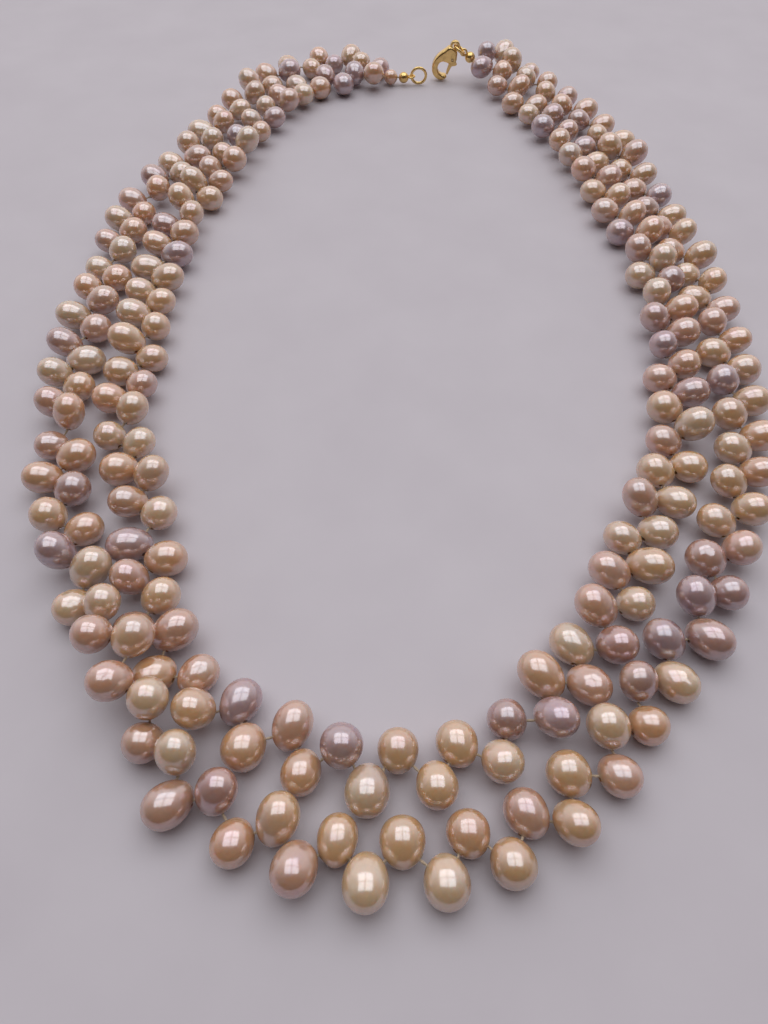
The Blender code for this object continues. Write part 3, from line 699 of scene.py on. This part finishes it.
class Skin:
    """The quads of an egg with a bore across it: a cube's grid, opened at two places.

    The egg's length is along z, its bore along x. Row says how far the bore is from the
    drilled tip, in quads along the cube's edge.
    """

    def __init__(self, steps, row):
        index = {}
        quads = []
        for a in range(3):
            b, c = (a + 1) % 3, (a + 2) % 3
            for end in (0, steps):
                for i in range(steps):
                    for j in range(steps):
                        quad = []
                        for di, dj in ((0, 0), (1, 0), (1, 1), (0, 1)):
                            corner = [0, 0, 0]
                            corner[a], corner[b], corner[c] = end, i + di, j + dj
                            quad.append(tuple(corner))
                        quads.append(quad if end else quad[::-1])
        middle = steps // 2
        closed = [(0, middle, row), (steps, middle, row)]
        quads = [q for q in quads if not any(mouth in q for mouth in closed)]
        for quad in quads:
            for corner in quad:
                index.setdefault(corner, len(index))
        self.quads = [[index[corner] for corner in quad] for quad in quads]
        grid = np.array(list(index), float)
        flat = np.tan((grid / steps - 0.5) * pi / 2)
        self.way = flat / norm(flat, axis=1, keepdims=True)

        around = ((1, 0), (1, 1), (0, 1), (-1, 1), (-1, 0), (-1, -1), (0, -1), (1, -1))
        self.mouths = [[index[x, middle + di, row + dj] for di, dj in around] for x, _, _ in closed]
        size = len(around)
        start = len(index)
        inner = [list(range(start + k * size, start + (k + 1) * size)) for k in (0, 1)]
        waist = list(range(start + 2 * size, start + 3 * size))
        for lip, inside, back in zip(self.mouths, inner, (True, False)):
            for outer_ring, inner_ring in ((lip, inside), (inside, waist)):
                for n in range(size):
                    m = (n + 1) % size
                    quad = [outer_ring[n], outer_ring[m], inner_ring[m], inner_ring[n]]
                    self.quads.append(quad[::-1] if back else quad)
        self.turns = np.arange(size) * tau / size
        self.count = start + 3 * size

    def points(self, width, length, from_tip, narrowing, swell):
        """The corners of one pearl, about the middle of its bore."""
        x, y, z = self.way.T
        girth = width / 2 * (1 + narrowing * z)
        skin = np.stack([x * girth, y * girth, length * (1 + z) / 2 - from_tip], 1)
        middle = np.array([0, 0, length / 2 - from_tip])
        skin = middle + (skin - middle) * swell(self.way)[:, None]

        around = np.stack([np.cos(self.turns), np.sin(self.turns)], 1)
        lip = around * (BORE_RADIUS + BORE_LIP)
        z = 2 * (lip[:, 1] + from_tip) / length - 1
        girth = width / 2 * (1 + narrowing * z)
        depth = np.sqrt((1 - z**2) * girth**2 - lip[:, 0] ** 2)
        bores = []
        for mouth, side in zip(self.mouths, (-1, 1)):
            ring = np.column_stack([side * depth, lip])
            way = np.column_stack([side * depth / girth, lip[:, 0] / girth, z])
            size = swell(way)[:, None]
            skin[mouth] = middle + (ring - middle) * size
            skin[mouth, 1:] = lip
            inside = skin[mouth].copy()
            inside[:, 0] -= side * BORE_LIP
            inside[:, 1:] = around * BORE_RADIUS
            bores.append(inside)
        waist = np.column_stack([np.zeros(len(around)), around * BORE_RADIUS])
        return np.vstack([skin, *bores, waist])


def random_vector(chance):
    return np.array([chance.gauss(0, 1) for _ in range(3)])


def odd_shape(chance):
    """How a pearl differs from a true egg, as a function of the way from its middle."""
    waves = []
    for _ in range(WAVES):
        way = random_vector(chance)
        way *= chance.uniform(*WAVE_PITCH) / norm(way)
        waves.append((way, chance.uniform(0, tau), chance.uniform(*WAVE_DEPTH)))
    flat = chance.choice(FLATTENINGS)
    ringed = chance.random() < RINGED_SHARE
    ring_place, ring_depth = chance.uniform(*RING_PLACE), chance.uniform(*RING_DEPTH)
    dimples = []
    for _ in range(chance.choice(DIMPLE_COUNTS)):
        way = random_vector(chance)
        way /= norm(way)
        dimples.append((way, chance.uniform(*DIMPLE_DEPTH), chance.uniform(*DIMPLE_SPREAD)))

    def swell(ways):
        size = np.ones(len(ways))
        for way, phase, depth in waves:
            size += depth * (np.cos(ways @ way + phase) - 1)
        size -= flat * ways[:, 1] ** 2
        if ringed:
            size -= ring_depth * np.exp(-(((ways[:, 2] - ring_place) / RING_SPREAD) ** 2))
        for way, depth, spread in dimples:
            size -= depth * np.exp(-((ways - way) ** 2).sum(1) / spread**2)
        return size

    return swell


def nacre_colours(skin, chance):
    """A pearl's colour at each corner: its nacre, with a second one showing on one side, and
    painted shade inside its bore.
    """
    palette = [colour for colour, share in NACRES for _ in range(share)]
    colour = np.array(chance.choice(palette))
    second = np.array(chance.choice(palette))
    colour *= chance.uniform(*NACRE_BRIGHTNESS)
    way = random_vector(chance)
    way /= norm(way)
    outside = len(skin.way)
    ways = np.vstack([skin.way, np.zeros((skin.count - outside, 3))])
    share = SECOND_NACRE * np.clip(ways @ way, 0, 1)[:, None]
    mixed = colour * (1 - share) + second * share
    # painted shade: the corners inside the bore are darkened
    mixed[outside:] *= BORE_PAINTED_SHADE
    return mixed


def pearl_mesh(name, pearls):
    """One mesh of several pearls, each (points, skin, colours)."""
    points, quads, colours = [], [], []
    start = 0
    for place, skin, colour in pearls:
        points.append(place)
        quads += [[start + corner for corner in quad] for quad in skin.quads]
        colours.append(colour)
        start += len(place)
    mesh = bpy.data.meshes.new(name)
    mesh.from_pydata(np.vstack(points).tolist(), [], quads)
    # the nacre colours, with the painted shade of the bores
    nacre_and_bore_shade = mesh.attributes.new("nacre_and_bore_shade", "FLOAT_COLOR", "POINT")
    colours = np.vstack(colours)
    rgba = np.column_stack([colours, np.ones(len(colours))]).astype(np.float32)
    nacre_and_bore_shade.data.foreach_set("color", rgba.ravel())
    return mesh


def turned(points, origin, drill, aim):
    """Points of a pearl's own frame, brought to where it hangs."""
    axes = np.stack([drill, np.cross(aim, drill), aim])
    return np.array(origin) + points @ axes


def build_pearls(layout):
    """The pearls of each stretch of each strand, as one piece."""
    skin = Skin(SKIN_STEPS, 1)
    shapes = random.Random(DENT_SEED)
    hues = random.Random(COLOUR_SEED)
    for strand, label in enumerate(("outer", "inner")):
        look = nacre_material(label + "_nacre")
        for stretch in range(STRETCHES):
            pearls = []
            for k in np.flatnonzero((layout.strand == strand) & (layout.stretch == stretch)):
                points = skin.points(
                    layout.width[k], layout.length[k], HOLE_FROM_TIP * layout.width[k],
                    NARROWING, odd_shape(shapes),
                )
                place = turned(points, layout.hole[k], layout.drill[k], layout.aim[k])
                pearls.append((place, skin, nacre_colours(skin, hues)))
            node = f"{label}_strand_pearls_{stretch + 1:02d}"
            piece = add_piece(node + "_fine", pearl_mesh(node, pearls), look)
            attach(piece, f"stretch_{stretch + 1:02d}")
            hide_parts(node)


# ---- the silk


def silk_through(layout, strand, stretch):
    """The silk's points inside one stretch, straight through each bore."""
    here = np.flatnonzero((layout.strand == strand) & (layout.stretch == stretch))
    points = []
    for k in here:
        for along in (-STRAIGHT_MM, 0.0, STRAIGHT_MM):
            points.append(Vector(layout.hole[k] + layout.drill[k] * along * MM))
    return points


def add_silk(mesh, points, step):
    """A silk of two twisted plies, on a smooth curve through points."""
    add_tube(mesh, smooth_points(points, step), PLY_RADIUS, SILK_SIDES, PLY_LOBE)


def build_silk(layout):
    """The silks in each stretch, and the short bits of silk that join one stretch to the next."""
    look = silk_material()
    for stretch in range(STRETCHES):
        mesh = bmesh.new()
        for strand in (0, 1):
            add_silk(mesh, silk_through(layout, strand, stretch), SILK_STEP)
        piece = add_piece(f"silk_{stretch + 1:02d}", mesh, look)
        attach(piece, f"stretch_{stretch + 1:02d}")
    for joint in range(1, STRETCHES):
        mesh = bmesh.new()
        for strand in (0, 1):
            before = silk_through(layout, strand, joint - 1)[-2:]
            after = silk_through(layout, strand, joint)[:2]
            add_silk(mesh, [*before, *after], SILK_BEND_STEP)
        piece = add_piece(f"silk_bend_{joint:02d}", mesh, look)
        middle = hinge_place(joint) + SHIFT
        x, y = ROUTES[0].direction(joint_places()[0][joint])
        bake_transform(piece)
    return look


# ---- the end fittings


def fork_of(end):
    """The two silks' last points on the strands, at the left (0) or the right (1) end."""
    level = HOLE_HEIGHT * PEARL_WIDTH
    points = []
    for route in ROUTES:
        s = 0 if end == 0 else route.length
        way = route.direction(s) * (-1 if end == 0 else 1)
        x, y = route.at(s) + way * JOINT_GAP / 2
        points.append(Vector((x, y, level + route.rise(s))))
    return points


def loop_centre(centre, aim):
    """Where a bead tip's loop is, outside its shell along aim."""
    return centre + aim * (TIP_RADIUS + LOOP_RADIUS + LOOP_STANDOFF)


def build_bead_tip(name, centre, mouth, aim, loop_normal, look):
    """A hollow clamshell of two cups, open towards the pearls, with a bent wire loop."""
    shell = bmesh.new()
    side = mouth.orthogonal().normalized()
    place = frame_matrix(centre, side, mouth.cross(side), mouth)
    rings = []
    open_turn = asin(TIP_MOUTH_RADIUS / TIP_RADIUS)
    turns = np.linspace(open_turn, pi, TIP_ROWS)
    for radius, order in ((TIP_RADIUS, turns), (TIP_RADIUS - TIP_WALL, turns[::-1])):
        for turn in order:
            ring = []
            for n in range(TIP_SIDES):
                around = tau * n / TIP_SIDES
                seam = exp(-((sin(around) / SEAM_SPREAD) ** 2)) * sin(turn)
                size = radius - (SEAM_DEPTH * seam if radius == TIP_RADIUS else 0)
                out = size * sin(turn)
                x, y, z = out * cos(around), out * sin(around), size * cos(turn)
                ring.append(shell.verts.new(place @ Vector((x, y, z))))
            rings.append(ring)
    join_rings(shell, rings + rings[:1])
    bmesh.ops.remove_doubles(shell, verts=shell.verts, dist=MERGE_DISTANCE)
    normal = Vector(loop_normal)
    middle = loop_centre(centre, aim)
    across = normal.cross(aim).normalized()
    bend = [centre + aim * LOOP_ROOT]
    for turn in np.linspace(*LOOP_TURNS, LOOP_STEPS):
        bend.append(middle + LOOP_RADIUS * (aim * cos(turn) + across * sin(turn)))
    add_tube(shell, bend, LOOP_WIRE * LOOP_THINNING, LOOP_SIDES)
    return add_piece(name + "_fine", shell, look)


def add_wire_ring(mesh, centre, normal, radius, steps, split=0.0):
    """A ring of round wire; with a split, its ends meet with a hair's gap."""
    normal = Vector(normal).normalized()
    across = normal.orthogonal().normalized()
    other = normal.cross(across)
    if split:
        turns = np.linspace(split / 2, tau - split / 2, steps)
        way = [centre + radius * (across * cos(t) + other * sin(t)) for t in turns]
        add_tube(mesh, way, RING_WIRE, RING_SIDES)
        return
    rings = []
    for turn in np.arange(steps) * tau / steps:
        out = across * cos(turn) + other * sin(turn)
        ring = []
        for around in np.arange(RING_SIDES) * tau / RING_SIDES:
            spot = centre + out * (radius + RING_WIRE * cos(around))
            spot += normal * RING_WIRE * sin(around)
            ring.append(mesh.verts.new(spot))
        rings.append(ring)
    join_rings(mesh, rings + rings[:1])


def build_end_silk(label, end, fork, way_points, knot, look):
    """The two silks that leave the last pearls, meet, and are knotted in the bead tip."""
    mesh = bmesh.new()
    for strand, first in enumerate(fork_of(end)):
        aside = Vector((0, SILK_ASIDE, 0)) * (1 if strand == 0 else -1)
        way = [first, fork + aside, *(p + aside for p in way_points), knot + aside]
        add_silk(mesh, way, SILK_BEND_STEP)
    turns = np.linspace(0, KNOT_TURNS * tau, KNOT_STEPS)
    aim = (knot - fork).normalized()
    side = aim.orthogonal().normalized()
    other = aim.cross(side)
    coil = []
    for turn in turns:
        share = turn / turns[-1]
        bulge = sin(pi * (KNOT_ENDS + (1 - 2 * KNOT_ENDS) * share))
        size = KNOT_RADIUS * KNOT_COIL * bulge
        spot = knot + aim * (share - 0.5) * KNOT_RADIUS
        coil.append(spot + size * (side * cos(turn) + other * sin(turn)))
    add_tube(mesh, coil, PLY_RADIUS, SILK_SIDES, PLY_LOBE)
    bmesh.ops.transform(mesh, matrix=Matrix.Translation(SHIFT), verts=mesh.verts)
    piece = add_piece(label + "_silk", mesh, look)
    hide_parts(label + "_thread")
    return piece


def build_left_end(silk, gold):
    """The left end's small pearl, knotted silks, bead tip and ring."""
    along = (LEFT_TIP_CENTRE - LEFT_FORK).normalized()
    across = along.orthogonal().normalized()
    skin = Skin(SKIN_STEPS, SKIN_STEPS // 2)
    size = 2 * END_PEARL_RADIUS
    shape, hue = random.Random(DENT_SEED + 1), random.Random(COLOUR_SEED + 4)
    points = skin.points(size, size, END_PEARL_RADIUS, 0.0, odd_shape(shape))
    place = turned(points, LEFT_PEARL_CENTRE + SHIFT, np.array(along), np.array(across))
    mesh = pearl_mesh("left_end_pearl", [(place, skin, nacre_colours(skin, hue))])
    pearl = add_piece("left_end_pearl_fine", mesh, nacre_material("end_nacre"))
    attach(pearl, "left_tip")
    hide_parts("left_end_pearl")

    way = [LEFT_PEARL_CENTRE - along * THREAD_TURN, LEFT_PEARL_CENTRE]
    thread = build_end_silk("left_end", 0, LEFT_FORK, way, LEFT_TIP_CENTRE, silk)
    middle = (fork_of(0)[0] + fork_of(0)[1]) / 2 + SHIFT
    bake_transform(thread)

    aim = LEFT_TIP_AIM.normalized()
    mouth = (LEFT_PEARL_CENTRE - LEFT_TIP_CENTRE).normalized()
    tip = build_bead_tip("left_bead_tip", LEFT_TIP_CENTRE + SHIFT, mouth, aim, (0, 0, 1), gold)
    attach(tip, "left_tip")
    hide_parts("left_bead_tip")

    loop = loop_centre(LEFT_TIP_CENTRE, aim) + SHIFT
    mesh = bmesh.new()
    centre = loop + aim * END_RING_RADIUS
    add_wire_ring(mesh, centre, (0, 1, 0), END_RING_RADIUS, END_RING_STEPS)
    ring = add_piece("end_ring_fine", mesh, gold)
    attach(ring, "left_ring")
    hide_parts("end_ring")


def build_right_end(silk, gold):
    """The right end's knotted silks, bead tip and jump ring; returns the clasp's eye."""
    way = [RIGHT_FORK.lerp(RIGHT_TIP_CENTRE, share) for share in RIGHT_SILK_SHARES]
    thread = build_end_silk("right_end", 1, RIGHT_FORK, way, RIGHT_TIP_CENTRE, silk)
    middle = (fork_of(1)[0] + fork_of(1)[1]) / 2 + SHIFT
    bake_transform(thread)

    aim = RIGHT_TIP_AIM.normalized()
    mouth = (RIGHT_FORK - RIGHT_TIP_CENTRE).normalized()
    tip = build_bead_tip("right_bead_tip", RIGHT_TIP_CENTRE + SHIFT, mouth, aim, (0, 1, 0), gold)
    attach(tip, "right_tip")
    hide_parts("right_bead_tip")

    loop = loop_centre(RIGHT_TIP_CENTRE, aim) + SHIFT
    mesh = bmesh.new()
    centre = loop + aim * JUMP_RING_RADIUS
    normal = aim.cross(Vector((0, 1, 0)))
    add_wire_ring(mesh, centre, normal, JUMP_RING_RADIUS, JUMP_RING_STEPS, JUMP_RING_SPLIT)
    ring = add_piece("jump_ring_fine", mesh, gold)
    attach(ring, "link_ring")
    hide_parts("jump_ring")
    return loop + aim * 2 * JUMP_RING_RADIUS


# ---- the clasp


def clasp_point(spot_mm, height=0.0):
    """A point over the clasp's plane, in metres."""
    u, w = spot_mm
    return Vector((u * MM, w * MM, height))


def plate(outline_mm, thickness, place):
    """A flat plate of the clasp, centred on its plane."""
    mesh = bmesh.new()
    lower, upper = [], []
    for spot_mm in outline_mm:
        lower.append(mesh.verts.new(place @ clasp_point(spot_mm, -thickness / 2)))
        upper.append(mesh.verts.new(place @ clasp_point(spot_mm, thickness / 2)))
    mesh.faces.new(list(reversed(lower)))
    mesh.faces.new(upper)
    join_rings(mesh, [lower, upper])
    return mesh


def rod(place, spot, length, radius, sides=ROD_SIDES):
    """A rod of the clasp, square to its plane and centred on it."""
    mesh = bmesh.new()
    half = Vector((0, 0, length / 2))
    add_tube(mesh, [place @ (spot - half), place @ (spot + half)], radius, sides)
    return mesh


def apply_modifiers(made):
    """Makes what an object's modifiers do part of its mesh."""
    graph = bpy.context.evaluated_depsgraph_get()
    graph.update()
    data = bpy.data.meshes.new_from_object(made.evaluated_get(graph))
    made.modifiers.clear()
    made.data = data


def combine(target, mesh, operation):
    """Joins a mesh to an object or cuts it out, for good."""
    other = mesh_object("tool", mesh)
    step = target.modifiers.new("combine", "BOOLEAN")
    step.operation = operation
    step.object = other
    step.solver = "EXACT"
    apply_modifiers(target)
    bpy.data.objects.remove(other)


def round_edges(made, rounding):
    """Rounds an object's edges, by a width and in a number of steps."""
    bevel = made.modifiers.new("rounded", "BEVEL")
    bevel.width, bevel.segments = rounding
    bevel.limit_method = "ANGLE"
    bevel.angle_limit = ROUNDED_TURN
    bevel.use_clamp_overlap = False
    apply_modifiers(made)


def finish_piece(made, name, look, body, node):
    """Names a piece of the clasp, gives it its look and says where it belongs."""
    made.name = name
    made.data.name = name
    made.data.materials.clear()
    finish_mesh(made.data, look, CLASP_SHARP_TURN)
    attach(made, body)
    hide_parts(node)


def build_clasp(eye, gold, pale_gold, steel):
    """The lobster clasp: a puffed hook with an eye, a slot, a sprung trigger and its pin."""
    u, w = CLASP_U.normalized(), CLASP_W.normalized()
    place = frame_matrix(eye, u, w, u.cross(w))
    body = mesh_object("hook", plate(smooth_outline(CLASP_OUTLINE_MM), CLASP_THICKNESS, place))
    round_edges(body, HOOK_ROUNDING)

    middle = Vector()
    disc = mesh_object("eye", rod(place, middle, EYE_THICKNESS, EYE_RADIUS, EYE_SIDES))
    round_edges(disc, EYE_ROUNDING)
    rounded_disc = bmesh.new()
    rounded_disc.from_mesh(disc.data)
    bpy.data.objects.remove(disc)
    combine(body, rounded_disc, "UNION")
    combine(body, rod(place, middle, 2 * EYE_THICKNESS, EYE_HOLE), "DIFFERENCE")

    low_u, high_u, low_w, high_w = SLOT_MM
    corners = [(low_u, low_w), (high_u, low_w), (high_u, high_w), (low_u, high_w)]
    combine(body, plate(corners, SLOT_THICKNESS, place), "DIFFERENCE")

    mesh = plate(smooth_outline(TRIGGER_OUTLINE_MM), TRIGGER_THICKNESS, place)
    trigger = mesh_object("lever", mesh)
    round_edges(trigger, LEVER_ROUNDING)
    pivot = clasp_point(PIVOT_MM)
    for target in (body, trigger):
        combine(target, rod(place, pivot, 2 * CLASP_THICKNESS, PIN_HOLE), "DIFFERENCE")
    pin = mesh_object("pin", rod(place, pivot, PIN_LENGTH, PIN_RADIUS))
    round_edges(pin, PIN_ROUNDING)

    leaf = [place @ clasp_point(spot_mm) for spot_mm in SPRING_MM]
    mesh = bmesh.new()
    add_tube(mesh, smooth_points(leaf, SPRING_STEP), SPRING_RADIUS, SPRING_SIDES)
    spring = mesh_object("leaf", mesh)
    finish_piece(body, "clasp_hook", gold, "clasp", "clasp_body")
    finish_piece(trigger, "clasp_lever", gold, "trigger", "clasp_trigger")
    finish_piece(pin, "clasp_rivet", pale_gold, "clasp", "clasp_pin")
    finish_piece(spring, "clasp_leaf_spring", steel, "clasp", "clasp_spring")


# ---- the surroundings


def build_floor():
    """The pale table the necklace lies on."""
    made, tree, shader = new_material("pale_table", Roughness=0.55)
    grain = object_noise(tree, scale=60, detail=4.0)
    feed(tree, shader, Base_Color=ramp(tree, grain, ((0.3, TABLE_SHADE), (0.7, TABLE_COLOUR))))
    bump(tree, shader, object_noise(tree, scale=900), distance=0.00002, strength=0.3)
    mesh = bmesh.new()
    bmesh.ops.create_grid(mesh, x_segments=2, y_segments=2, size=TABLE_SIZE)
    floor = add_piece("floor", mesh, made)
    floor.location.z = -TABLE_DROP


def add_window():
    """A soft window overhead: panes of light with thin bars between them."""
    for column in range(WINDOW_COLUMNS):
        for row in range(WINDOW_ROWS):
            pane = bpy.data.lights.new(f"pane_{column}_{row}", "AREA")
            pane.shape = "RECTANGLE"
            pane.size = WINDOW_SIZE[0] / WINDOW_COLUMNS - WINDOW_BAR
            pane.size_y = WINDOW_SIZE[1] / WINDOW_ROWS - WINDOW_BAR
            pane.energy = WINDOW_POWER * pane.size * pane.size_y
            pane.color = WINDOW_COLOUR
            lamp = link_object(pane.name, pane)
            x = WINDOW_SIZE[0] * ((column + 0.5) / WINDOW_COLUMNS - 0.5)
            y = WINDOW_SIZE[1] * ((row + 0.5) / WINDOW_ROWS - 0.5)
            lamp.matrix_world = (
                Matrix.Translation(WINDOW_CENTRE)
                @ Matrix.Rotation(WINDOW_TILT, 4, "X")
                @ Matrix.Translation((x, y, 0))
            )


def build_world():
    """A pale room, brighter on its far side and dark on the near side, where the viewer stands."""
    world = bpy.data.worlds.new("room")
    world.use_nodes = True
    tree = world.node_tree
    light = tree.nodes["Background"]
    place = add_node(tree, "TexCoord")
    split = add_node(tree, "SeparateXYZ")
    feed(tree, split, Vector=place.outputs["Generated"])
    spread = add_node(tree, "MapRange", From_Min=-1.0)
    feed(tree, spread, Value=split.outputs["Y"])
    feed(tree, light, Color=ramp(tree, spread.outputs["Result"], ROOM))
    light.inputs["Strength"].default_value = ROOM_STRENGTH
    bpy.context.scene.world = world


def add_camera():
    """The photo's camera, looking down at the necklace from its front."""
    lens = bpy.data.cameras.new("camera")
    lens.sensor_width = CAMERA_SENSOR
    lens.lens = CAMERA_LENS
    lens.clip_start = CAMERA_CLIP
    camera = link_object("camera", lens)
    camera.location = CAMERA_PLACE
    camera.rotation_euler = (CAMERA_PITCH, 0, 0)
    bpy.context.scene.camera = camera


def main():
    add_camera()
    build_world()
    add_window()
    build_floor()
    layout = Layout()
    layout.hole += np.array(SHIFT)
    build_pearls(layout)
    silk = build_silk(layout)
    gold = gold_material("polished_gold", GOLD, roughness=0.14)
    pale_gold = gold_material("pin_gold", PALE_GOLD, roughness=0.2)
    build_left_end(silk, gold)
    eye = build_right_end(silk, gold)
    build_clasp(eye, gold, pale_gold, steel_material())
    bpy.context.scene.view_settings.view_transform = "Standard"


main()
